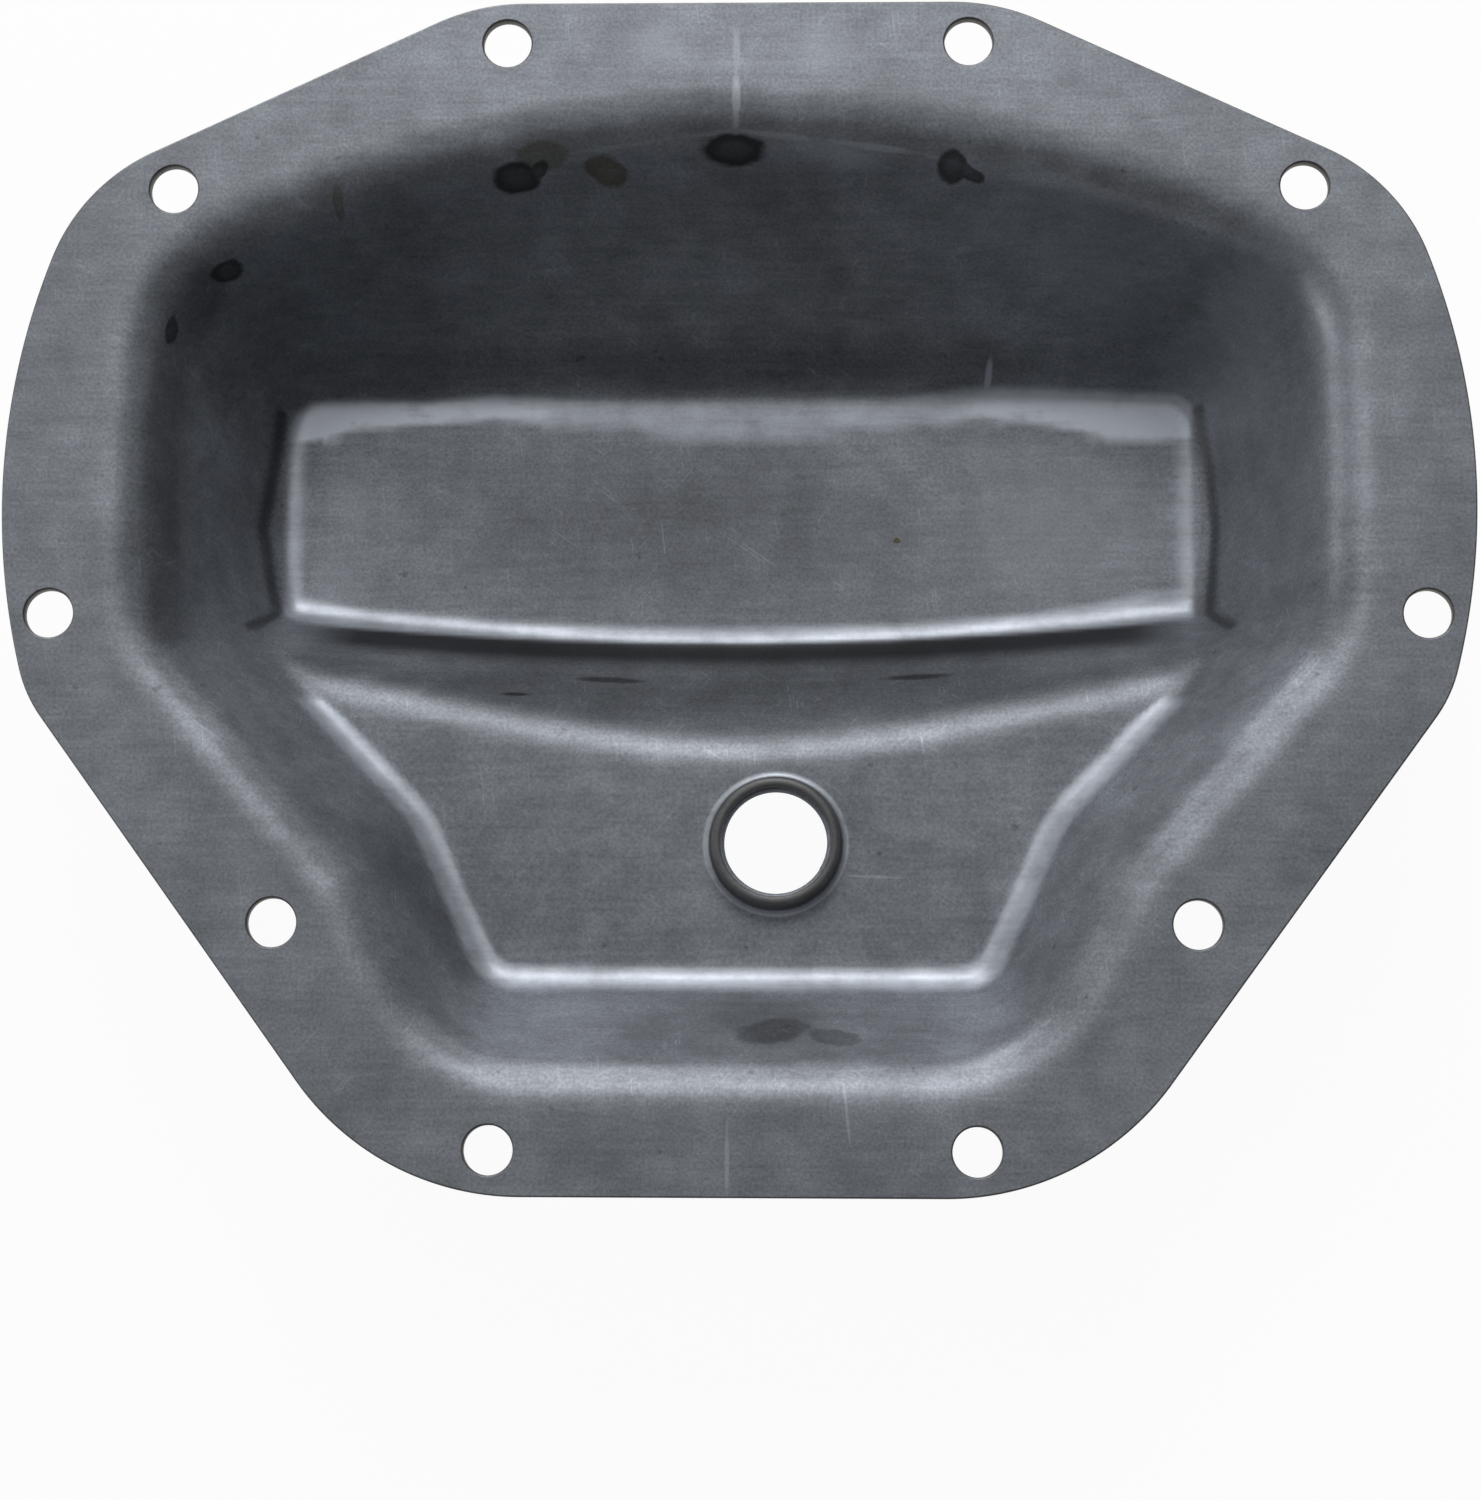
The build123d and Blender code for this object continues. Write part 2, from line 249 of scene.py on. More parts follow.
# Colour of oil, also used for the painted shade in the groove and the creases
oil_and_shade_colour = (0.012, 0.012, 0.014, 1)
steel_metallic = 0.45
smoothest = 0.42
roughness_swing = 0.16
tone_swings = {"Clouds": 0.42, "Blotches": 0.34, "Brush": 0.26, "Grain": 0.42}
grain_depth = 0.00006
grain_strength = 0.35
rubbed_polish = 0.10
rounded_polish = 0.07
hair_strength = 0.20
# How ragged the marks' outlines are, and where a blot's edge and its paler middle start,
# in sizes of the blot
raggedness = 0.6
blot_edge = (1.15, 0.82)
blot_middle = (0.30, 0.80)
blot_middle_strength = 0.84
# Turn and size of the three directions of hair scratches
hair_ways = [(0.6, 1.0), (-0.9, 1.13), (1.45, 0.87)]

# Lamps: name, lean from straight up, heading, brightness
softbox_width = 0.7
softbox_distance = 1.5
softboxes = [("low_left_softbox", 84, 108, 8.1), ("key_softbox", 44, 90, 7.2),
             ("low_right_softbox", 84, 72, 2.3), ("high_left_softbox", 22, 120, 0.71),
             ("overhead_softbox", 0, 0, 0.70), ("left_softbox", 70, 180, 2.8),
             ("front_softbox", 84, 252, 0.54), ("high_right_softbox", 22, 60, 0.12)]
world_grey = 0.05
# Floor: half its width, its gap below the part, its paper's white, and how much of what
# the camera and reflections see of it is plain white
floor_half_width = 12.0
floor_gap = 0.0001
paper_white = 0.92
floor_glow = 0.95


def arc(middle, start, end):
    """Points from start to end round middle, anticlockwise."""
    first = atan2(start.y - middle.y, start.x - middle.x)
    turn = (atan2(end.y - middle.y, end.x - middle.x) - first) % (2 * pi)
    radius = (start - middle).length
    steps = max(2, ceil(radius * turn / outline_step))
    return [middle + Vector((cos(first + turn * step / steps), sin(first + turn * step / steps))) * radius
            for step in range(steps + 1)]


def inward(way):
    return Vector((-way.y, way.x))


def corner_arc(corner, way_in, way_out, radius):
    """The rounded corner between two straight edges."""
    setback = radius * tan(way_in.angle(way_out) / 2)
    start = corner - way_in * setback
    return arc(start + inward(way_in) * radius, start, corner + way_out * setback)


def side_fillet(corner, way, side_middle, radius):
    """Middle of the rounding between a straight edge through corner and the side
    arc, and the points where it leaves each."""
    base = corner + inward(way) * radius
    off = base - side_middle
    half = off.dot(way)
    root = sqrt(half**2 - off.dot(off) + (side_arc_radius - radius)**2)
    middle = min((base + way * (sign * root - half) for sign in (-1, 1)),
                 key=lambda place: (place - corner).length)
    on_arc = side_middle + (middle - side_middle).normalized() * side_arc_radius
    return middle, middle - inward(way) * radius, on_arc


def flange_outline():
    """The flange's outline as a closed loop of evenly spaced points."""
    upper = Vector((-cos(radians(upper_edge_slope)), sin(radians(upper_edge_slope))))
    lower = Vector((cos(radians(lower_edge_slope)), sin(radians(lower_edge_slope))))
    shoulder = top_corner - upper * (shoulder_drop / sin(radians(upper_edge_slope)))
    bottom = side_corner - lower * ((side_corner.y - flange_bottom) / sin(radians(lower_edge_slope)))
    chord = shoulder - side_corner
    side_middle = ((shoulder + side_corner) / 2 + inward(chord).normalized()
                   * sqrt(side_arc_radius**2 - (chord.length / 2)**2))
    low, low_line, low_arc = side_fillet(side_corner, lower, side_middle, side_corner_radius)
    high, high_line, high_arc = side_fillet(shoulder, upper, side_middle, shoulder_corner_radius)
    half = corner_arc(bottom, Vector((1, 0)), lower, bottom_corner_radius)
    half += arc(low, low_line, low_arc)
    half += arc(side_middle, low_arc, high_arc)
    half += arc(high, high_arc, high_line)
    half += corner_arc(top_corner, upper, Vector((-1, 0)), top_corner_radius)
    loop = np.array([tuple(point) for point in half])
    loop = np.concatenate([loop, loop[::-1] * (-1, 1)])
    return evenly_spaced(loop, rim_spacing)


def evenly_spaced(loop, spacing):
    """The closed loop with points at equal steps of about this spacing."""
    closed = np.concatenate([loop, loop[:1]])
    length = np.concatenate([[0], np.cumsum(np.linalg.norm(np.diff(closed, axis=0), axis=1))])
    count = ceil(length[-1] / spacing)
    at = np.arange(count) * length[-1] / count
    return np.stack([np.interp(at, length, closed[:, axis]) for axis in (0, 1)], axis=1)


def ring(middle, radius, count):
    angles = np.arange(count) * 2 * pi / count
    return np.stack([middle[0] + radius * np.cos(angles), middle[1] + radius * np.sin(angles)], axis=1)


def outward(loop):
    """Unit normals of a loop that runs anticlockwise, away from its inside."""
    along = np.roll(loop, -1, axis=0) - np.roll(loop, 1, axis=0)
    along /= np.linalg.norm(along, axis=1)[:, None]
    return np.stack([along[:, 1], -along[:, 0]], axis=1)


def cad_triangles(node):
    """Corner places, corner normals and face normals of a CAD node's triangles."""
    mesh = node.data
    mesh.calc_loop_triangles()
    count = len(mesh.loop_triangles)
    index = np.empty(count * 3, dtype=np.int32)
    mesh.loop_triangles.foreach_get("vertices", index)
    loops = np.empty(count * 3, dtype=np.int32)
    mesh.loop_triangles.foreach_get("loops", loops)
    places = np.empty(len(mesh.vertices) * 3)
    mesh.vertices.foreach_get("co", places)
    normals = np.empty(len(mesh.loops) * 3)
    mesh.corner_normals.foreach_get("vector", normals)
    matrix = np.array(node.matrix_world)
    places = places.reshape(-1, 3) @ matrix[:3, :3].T + matrix[:3, 3]
    normals = normals.reshape(-1, 3) @ matrix[:3, :3].T
    corners = places[index].reshape(-1, 3, 3)
    flat = np.cross(corners[:, 1] - corners[:, 0], corners[:, 2] - corners[:, 0])
    return corners, normals[loops].reshape(-1, 3, 3), flat


def height_grid(triangles, lowest, size, facing, fill):
    """Height of the face that looks up (facing 1) or down (facing -1) at each grid
    point. The corner normals round the facets off."""
    corners, normals, flat = triangles
    grid = np.full(size, np.nan)
    area = np.linalg.norm(flat, axis=1)
    reach = np.hypot(*np.moveaxis(corners[..., :2] - filler_place, -1, 0)).max(axis=1)
    wanted = (flat[:, 2] * facing > edge_on * area) & (area > 0) & (reach > collar_foot[0] + collar_slack)
    for tri, nor in zip(corners[wanted], normals[wanted]):
        low = np.ceil((tri[:, :2].min(axis=0) - lowest) / grid_step - grid_slack).astype(int)
        high = np.floor((tri[:, :2].max(axis=0) - lowest) / grid_step + grid_slack).astype(int) + 1
        if (high <= low).any():
            continue
        x, y = np.meshgrid(lowest[0] + np.arange(low[0], high[0]) * grid_step,
                           lowest[1] + np.arange(low[1], high[1]) * grid_step, indexing="ij")
        (ax, ay, _), (bx, by, _), (cx, cy, _) = tri
        spread = (by - cy) * (ax - cx) + (cx - bx) * (ay - cy)
        u = ((by - cy) * (x - cx) + (cx - bx) * (y - cy)) / spread
        v = ((cy - ay) * (x - cx) + (ax - cx) * (y - cy)) / spread
        inside = (u > -grid_slack) & (v > -grid_slack) & (u + v < 1 + grid_slack)
        if not inside.any():
            continue
        shares = np.stack([u[inside], v[inside], 1 - u[inside] - v[inside]], axis=-1)
        place, normal = shares @ tri, shares @ nor
        off = np.einsum("kcj,cj->kc", place[:, None, :] - tri[None], nor)
        lift = -roundness * np.einsum("kc,kc,kc->k", shares, off, normal @ nor.T) / normal[:, 2]
        part = grid[low[0]:high[0], low[1]:high[1]]
        part[inside] = place[:, 2] + np.clip(lift, -most_lift, most_lift)
    grid[np.isnan(grid)] = fill
    x, y = np.meshgrid(lowest[0] + np.arange(size[0]) * grid_step,
                       lowest[1] + np.arange(size[1]) * grid_step, indexing="ij")
    hole = np.hypot(x - filler_place[0], y - filler_place[1]) < collar_reach
    grid[hole] = plateau_height + fill
    return grid


def blurred(grid, radius):
    """The grid smoothed by a bell curve of this radius in metres."""
    reach = ceil(radius / grid_step * 3)
    weights = np.exp(-0.5 * (np.arange(-reach, reach + 1) * grid_step / radius) ** 2)
    weights /= weights.sum()
    for axis in (0, 1):
        wide = np.pad(grid, [(reach, reach) if side == axis else (0, 0) for side in (0, 1)], mode="edge")
        length = grid.shape[axis]
        grid = sum(weight * wide.take(np.arange(shift, shift + length), axis=axis)
                   for shift, weight in enumerate(weights))
    return grid


def sampled(grid, lowest, places):
    """The grid's values at places between its points."""
    at = (places - lowest) / grid_step
    whole = np.clip(np.floor(at).astype(int), 0, np.array(grid.shape) - 2)
    part = at - whole
    i, j = whole.T
    a, b = part.T
    return (grid[i, j] * (1 - a) * (1 - b) + grid[i + 1, j] * a * (1 - b)
            + grid[i, j + 1] * (1 - a) * b + grid[i + 1, j + 1] * a * b)


def mark_reach(places, marks):
    """How far each place is from the nearest mark's middle, as a share of the mark's
    size, and that mark's strength."""
    reach, strength = np.full(len(places), 3.0), np.zeros(len(places))
    for x, y, width, height, turn, mark_strength in marks:
        off = places - (x, y)
        cosine, sine = cos(radians(turn)), sin(radians(turn))
        away = np.hypot(off @ (cosine, sine) / width, off @ (-sine, cosine) / height)
        strength[away < reach] = mark_strength
        reach = np.minimum(reach, away)
    return reach, strength


def lattice(spacing, grid, lowest, loops, gap):
    """Points of a triangular lattice within the first loop and outside the others: all
    of them on sharp bends and round marks, every second in both directions on slighter
    bends and slopes, and every fourth on the flats."""
    size = np.array(grid.shape) * grid_step
    rows = ceil(size[1] / (spacing * sqrt(3) / 2))
    columns = ceil(size[0] / spacing)
    a, b = np.meshgrid(np.arange(-rows // 2, columns), np.arange(rows), indexing="ij")
    places = np.stack([(a + b / 2) * spacing, b * spacing * sqrt(3) / 2], axis=-1).reshape(-1, 2) + lowest
    a, b = a.ravel(), b.ravel()
    slope = np.gradient(grid, grid_step)
    bend = sum(np.abs(np.gradient(part, grid_step, axis=axis)) for axis, part in enumerate(slope))
    bend = sampled(blurred(bend, bend_smoothing), lowest, places)
    steepness = sampled(np.hypot(*slope), lowest, places)
    second = (a % 2 == 0) & (b % 2 == 0)
    fourth = (a % 4 == 0) & (b % 4 == 0)
    marked = mark_reach(places, smudges + stains)[0] < mark_surround
    keep = (bend > sharp_bend) | marked | fourth
    keep |= second & ((bend > slight_bend) | (steepness > slight_slope))
    outline = loops[0]
    edge = np.roll(outline, -1, axis=0) - outline
    places = places[keep]
    inside = np.ones(len(places), dtype=bool)
    for start, way in zip(outline, edge / np.linalg.norm(edge, axis=1)[:, None]):
        inside &= way[0] * (places[:, 1] - start[1]) - way[1] * (places[:, 0] - start[0]) > gap
    places = places[inside]
    for loop in loops[1:]:
        middle = loop.mean(axis=0)
        radius = np.linalg.norm(loop[0] - middle)
        places = places[np.hypot(*(places - middle).T) > radius + gap]
    return places


def add_surface(build, grid, lowest, loops, spacing, facing):
    """One face of the pan, triangulated between its loops."""
    points = np.concatenate(loops + [lattice(spacing, grid, lowest, loops, spacing * loop_gap)])
    edges, first = [], 0
    for loop in loops:
        edges += [(first + i, first + (i + 1) % len(loop)) for i in range(len(loop))]
        first += len(loop)
    found, _, faces, *_ = delaunay_2d_cdt([Vector(point) for point in points], edges, [], 0, 1e-9)
    found = np.array([tuple(point) for point in found])
    faces = np.array([list(face) for face in faces])
    middle = found[faces].mean(axis=1)
    keep = np.ones(len(faces), dtype=bool)
    for loop in loops[1:]:
        centre = loop.mean(axis=0)
        keep &= np.hypot(*(middle - centre).T) > np.linalg.norm(loop[0] - centre) * 0.9999
    faces = faces[keep]
    corners = found[faces]
    turn = np.cross(corners[:, 1] - corners[:, 0], corners[:, 2] - corners[:, 0])
    faces[turn * facing < 0] = faces[turn * facing < 0][:, ::-1]
    heights = sampled(grid, lowest, found)
    add_part(build, np.column_stack([found, heights]), faces)


def add_part(build, places, faces):
    """Adds points and the faces between them to the build."""
    first = sum(len(part) for part in build["places"])
    build["places"].append(places)
    build["cut"].append(np.zeros(len(places)))
    build["faces"].append(faces + first)


def add_strip(build, rows, cut=0.0):
    """Joins closed rows of equally many points, each row to the next. cut is 1 where the
    strip is a cut edge; its first and last rows belong to the faces beside it."""
    count = len(rows[0])
    i = np.arange(count)
    j = (i + 1) % count
    faces = []
    for number in range(len(rows) - 1):
        here, there = number * count, (number + 1) * count
        faces.append(np.column_stack([here + i, there + i, there + j]))
        faces.append(np.column_stack([here + i, there + j, here + j]))
    add_part(build, np.concatenate(rows), np.concatenate(faces))
    build["cut"][-1][count:-count] = cut


def sheared_rows(loop, away):
    """A cut edge of the sheet with slightly rounded corners. away is the direction
    in which the steel ends."""
    edge = sheared_edge_radius
    section = [(edge, 0), (0.3 * edge, 0.3 * edge), (0, edge), (0, sheet / 2), (0, sheet - edge),
               (0.3 * edge, sheet - 0.3 * edge), (edge, sheet)]
    return [np.column_stack([loop - away * inset, np.full(len(loop), -drop)]) for inset, drop in section]


def collar_profile():
    """Distance and height of the filler collar's rings, from its inside foot to its
    outside."""
    def bend(shape, first, last):
        from_middle, height, radius = shape
        turns = [radians(first + (last - first) * step / collar_bend_steps)
                 for step in range(collar_bend_steps + 1)]
        return [(from_middle + radius * cos(turn), height + radius * sin(turn)) for turn in turns]

    bore_start = bore_top - bore_chamfer
    return (bend(collar_foot, 270, 180)
            + [(collar_radius, (collar_foot[1] + collar_lip[1]) / 2)]
            + bend(collar_lip, 0, 90)
            + [(bore_radius + bore_chamfer, bore_top), (bore_radius, bore_start)]
            + [(bore_radius, bore_start - bore_length * step / bore_steps) for step in range(1, bore_steps)]
            + bend(entry_bend, 180, 270))


def smooth_step(value):
    value = np.clip(value, 0, 1)
    return value * value * (3 - 2 * value)


def between_lines(places, top, foot, softness):
    """1 between two lines that run along X, fading to 0 within softness."""
    x, y = places.T
    high = np.interp(x, *np.array(top).T)
    low = np.interp(x, *np.array(foot).T)
    return smooth_step((high - y) / softness + 0.5) * smooth_step((y - low) / softness + 0.5)


def patches(places, marks):
    """Strongest of several soft ovals at each place."""
    total = np.zeros(len(places))
    for mark in marks:
        away, strength = mark_reach(places, [mark])
        total = np.maximum(total, strength * smooth_step((1.3 - away) / 1.1))
    return total


def near_line(places, points, half_width):
    """1 on a line through these points, fading to 0 over its width."""
    nearest = np.full(len(places), 1.0)
    for start, end in zip(np.array(points), np.array(points)[1:]):
        along = end - start
        share = np.clip((places - start) @ along / (along @ along), 0, 1)
        nearest = np.minimum(nearest, np.linalg.norm(places - start - share[:, None] * along, axis=1))
    return smooth_step(1.5 - nearest / half_width)


def surface_marks(places, cut, inner, corner):
    """The mesh attributes that the steel reads, a value at every place. They run from 0 to 1, but
    burnish_and_highlight may pass 1 and the two reaches count in sizes of a mark."""
    flat = places[:, :2]
    x, y = flat.T
    height = sampled(inner, corner, flat)
    upper = np.abs(places[:, 2] - height) < inside_reach
    slope = np.gradient(inner, grid_step)
    bend = sum(np.gradient(part, grid_step, axis=axis) for axis, part in enumerate(slope))
    hollow = sampled(blurred(bend, hollow_smoothing), corner, flat)
    steep_y = sampled(slope[1], corner, flat)

    # Bright where the pressing has rubbed the steel, with painted highlights on the bends and a painted
    # highlight ring at the collar's foot
    from_middle = np.abs(x - pad_middle_x)
    band = between_lines(flat, pad_band_top, pad_band_foot, pad_band_softness)
    band *= np.interp(np.abs(x - pad_band_palest), *np.array(pad_band_strength).T)
    foot_band = between_lines(flat, step_band_top, step_band_foot, step_band_softness) * step_band_strength
    ends = smooth_step((from_middle - pad_half_width + pad_end_width) / mark_softness) * pad_end_strength
    ends *= smooth_step((y - pad_end_foot) / mark_softness) * smooth_step((pad_end_top - y) / mark_softness)
    pad = np.maximum(np.maximum(band, foot_band), ends)
    pad *= smooth_step((pad_half_width - from_middle) / (mark_softness / 2))
    rim = smooth_step((hollow - rim_bend) / full_bend) * plateau_rim_strength
    rim *= smooth_step((plateau_rim_height - height) / plateau_rim_softness)
    rim *= height > plateau_height - plateau_rim_depth
    rim *= smooth_step((plateau_rim_top - y) / mark_softness)
    from_filler = np.hypot(x - filler_place[0], y - filler_place[1])
    burnish_and_highlight = np.where(from_filler < collar_reach + collar_surround, 0, np.maximum(pad, rim)) * upper
    # A painted highlight ring at the collar's foot
    foot_ring = np.abs(from_filler - collar_foot[0] + collar_ring_inset) < collar_ring_half_width
    burnish_and_highlight += collar_ring_strength * foot_ring * (places[:, 2] < collar_ring_height) * upper

    # Painted shade along the step's foot and in the creases at the pad's ends
    below_step = np.interp(x, *np.array(step_band_foot).T) - y
    groove = smooth_step((below_step + groove_lead) / groove_softness)
    groove *= smooth_step((groove_width - below_step) / (0.6 * groove_width))
    groove *= smooth_step((groove_half_length - np.abs(x)) / groove_end_softness) * (steep_y < 0)
    crease_shade = np.maximum(*[near_line(flat, points, crease_shade_half_width) for points in crease_shade_lines])
    darkened = np.maximum(groove * groove_darkness, crease_shade * crease_shade_strength)

    # Painted sheen, with wiped steel on the flange's top
    sheen_and_wiped = patches(flat, sheen_and_wiped_patches)
    for half_width, strength, points in shines:
        sheen_and_wiped = np.maximum(sheen_and_wiped, near_line(flat, points, half_width) * strength)
    # Painted shade and soft smudges, with the painted shade strips inside the mouth's bend
    shade_and_smudge = patches(flat, shade_and_smudge_patches)
    for half_width, strength, points in shadows:
        shade_and_smudge = np.maximum(shade_and_smudge, near_line(flat, points, half_width) * strength)
    oil_reach, oil_strength = mark_reach(flat, smudges)
    stain_reach, stain_strength = mark_reach(flat, stains)
    return {"inside": upper, "burnish_and_highlight": burnish_and_highlight, "darkened": darkened * upper, "cut_edge": cut,
            "shade_and_smudge": shade_and_smudge * upper, "sheen_and_wiped": sheen_and_wiped * upper, "rounded": smooth_step(-hollow / full_bend),
            "oil_reach": oil_reach, "oil_strength": oil_strength * upper,
            "stain_reach": stain_reach, "stain_strength": stain_strength * upper}


def build_pan(node):
    """The pan as one smooth closed mesh, from the heights of its CAD node."""
    triangles = cad_triangles(node)
    corner = np.array(cad_box[0][:2]) - grid_margin
    size = tuple(np.ceil((np.array(cad_box[1][:2]) + grid_margin - corner) / grid_step).astype(int) + 1)
    inner = blurred(height_grid(triangles, corner, size, 1, 0.0), soften_radius)
    outer = blurred(height_grid(triangles, corner, size, -1, -sheet), soften_radius)
    outline = flange_outline()
    away = outward(outline)
    holes = [ring((side * x, y), bolt_hole_radius, bolt_hole_segments)
             for x, y in bolt_places for side in (-1, 1)]
    inset = outline - away * sheared_edge_radius
    wider = [ring(hole.mean(axis=0), bolt_hole_radius + sheared_edge_radius, bolt_hole_segments)
             for hole in holes]
    build = {"places": [], "faces": [], "cut": []}
    collar_ring = ring(filler_place, collar_reach, collar_segments)
    entry_ring = ring(filler_place, entry_reach, collar_segments)
    add_surface(build, inner, corner, [inset] + wider + [collar_ring], inside_spacing, 1)
    add_surface(build, outer, corner, [inset] + wider + [entry_ring], outside_spacing, -1)
    add_strip(build, sheared_rows(outline, away), 1.0)
    for hole in holes:
        add_strip(build, sheared_rows(hole, -outward(hole)), 1.0)
    rows = [np.column_stack([collar_ring, sampled(inner, corner, collar_ring)])]
    for radius, height in collar_profile():
        rows.append(np.column_stack([ring(filler_place, radius, collar_segments),
                                     np.full(collar_segments, height)]))
    rows.append(np.column_stack([entry_ring, sampled(outer, corner, entry_ring)]))
    add_strip(build, rows)
    # From the top of its foot to the bore's end the collar is nearly as dark as a cut edge
    collar = build["cut"][-1].reshape(-1, collar_segments)
    collar[collar_bend_steps - 1:-collar_bend_steps - 1] = collar_darkness
    mesh = bpy.data.meshes.new("pan")
    places = np.concatenate(build["places"])
    mesh.from_pydata(places.tolist(), [], np.concatenate(build["faces"]).tolist())
    for name, values in surface_marks(places, np.concatenate(build["cut"]), inner, corner).items():
        mesh.attributes.new(name, "FLOAT", "POINT").data.foreach_set("value", values.astype(np.float32))
    work = bmesh.new()
    work.from_mesh(mesh)
    bmesh.ops.remove_doubles(work, verts=work.verts, dist=weld_distance)
    bmesh.ops.recalc_face_normals(work, faces=work.faces)
    # Edges between a cut edge and the sheet's face are sharp
    cut = work.verts.layers.float["cut_edge"]
    for edge in work.edges:
        sides = [max(vert[cut] for vert in face.verts) > 0.5 for face in edge.link_faces]
        edge.smooth = len(set(sides)) < 2
    work.to_mesh(mesh)
    work.free()
    mesh.shade_smooth()
    pan = bpy.data.objects.new("pan", mesh)
    bpy.context.scene.collection.objects.link(pan)
    return pan


def build_thread(material):
    """The filler hole's thread: one ridge wound up the bore."""
    tree = bpy.data.node_groups.new("wound_thread", "GeometryNodeTree")
    for label, kind in (("Bore Radius", "Float"), ("Turns", "Float"), ("Length", "Float"),
                        ("Crest", "Vector"), ("Root", "Vector"), ("Start", "Vector"),
                        ("Steel", "Material")):
        tree.interface.new_socket(name=label, in_out="INPUT", socket_type="NodeSocket" + kind)
    tree.interface.new_socket(name="Thread", in_out="OUTPUT", socket_type="NodeSocketGeometry")

    def step(kind, inputs, **settings):
        return add_node(tree, "GeometryNode" + kind, inputs, **settings).outputs[0]

    given = tree.nodes.new("NodeGroupInput").outputs
    crest_back = vector(tree, "MULTIPLY", given["Crest"], (1, -1, 1))
    root_back = vector(tree, "MULTIPLY", given["Root"], (1, -1, 1))
    ridge = step("CurvePrimitiveQuadrilateral",
                 {"Point 1": given["Crest"], "Point 2": crest_back, "Point 3": root_back,
                  "Point 4": given["Root"]}, mode="POINTS")
    spiral = step("CurveSpiral", {"Resolution": thread_segments, "Rotations": given["Turns"],
                                  "Start Radius": given["Bore Radius"],
                                  "End Radius": given["Bore Radius"], "Height": given["Length"]})
    spiral = step("SetCurveNormal", {"Curve": spiral}, mode="Z_UP")
    wound = step("CurveToMesh", {"Curve": spiral, "Profile Curve": ridge, "Fill Caps": True})
    placed = step("Transform", {"Geometry": wound, "Translation": given["Start"]})
    real = step("RealizeInstances", {"Geometry": placed})
    steel = step("SetMaterial", {"Geometry": real, "Material": given["Steel"]})
    tree.links.new(steel, tree.nodes.new("NodeGroupOutput").inputs["Thread"])

    carrier = bpy.data.objects.new("thread_carrier", bpy.data.meshes.new("thread_carrier"))
    bpy.context.scene.collection.objects.link(carrier)
    modifier = carrier.modifiers.new("wound_thread", "NODES")
    modifier.node_group = tree
    sizes = {"Bore Radius": bore_radius, "Turns": thread_length / thread_pitch, "Length": thread_length,
             "Crest": (thread_height, thread_crest_half, 0), "Root": (-thread_sunk, thread_root_half, 0),
             "Start": (*filler_place.tolist(), thread_foot), "Steel": material}
    for item in tree.interface.items_tree:
        if item.in_out == "INPUT":
            modifier[item.identifier] = sizes[item.name]
    evaluated = carrier.evaluated_get(bpy.context.evaluated_depsgraph_get())
    mesh = bpy.data.meshes.new_from_object(evaluated)
    carrier.modifiers.remove(modifier)
    bpy.data.objects.remove(carrier)
    mesh.name = "filler_thread"
    work = bmesh.new()
    work.from_mesh(mesh)
    bmesh.ops.recalc_face_normals(work, faces=work.faces)
    work.to_mesh(mesh)
    work.free()
    thread = bpy.data.objects.new("filler_thread", mesh)
    bpy.context.scene.collection.objects.link(thread)
    return thread


def add_camera():
    data = bpy.data.cameras.new("photo_camera")
    data.sensor_fit = "HORIZONTAL"
    data.sensor_width = sensor_width
    data.lens = focal_pixels / photo_width * sensor_width
    camera = bpy.data.objects.new("photo_camera", data)
    turn = (Matrix.Rotation(radians(camera_yaw), 4, "Y")
            @ Matrix.Rotation(radians(camera_tilt), 4, "X")
            @ Matrix.Rotation(radians(camera_roll), 4, "Z"))
    camera.matrix_world = Matrix.Translation(camera_place) @ turn
    bpy.context.scene.collection.objects.link(camera)
    bpy.context.scene.camera = camera


def add_softbox(name, lean, heading, brightness):
    """A square lamp aimed at the cover, leaning this many degrees from straight up,
    towards heading in degrees anticlockwise from +X."""
    data = bpy.data.lights.new(name, "AREA")
    data.shape = "SQUARE"
    data.size = softbox_width
    data.energy = brightness * pi * softbox_width**2
    lamp = bpy.data.objects.new(name, data)
    lean, heading = radians(lean), radians(heading)
    aim = Vector((sin(lean) * cos(heading), sin(lean) * sin(heading), cos(lean)))
    lamp.matrix_world = (Matrix.Translation(aim * softbox_distance)
                         @ aim.to_track_quat("Z", "Y").to_matrix().to_4x4())
    bpy.context.scene.collection.objects.link(lamp)


def add_world(grey):
    world = bpy.data.worlds.new("studio")
    world.use_nodes = True
    world.node_tree.nodes["Background"].inputs["Color"].default_value = (grey, grey, grey, 1)
    bpy.context.scene.world = world


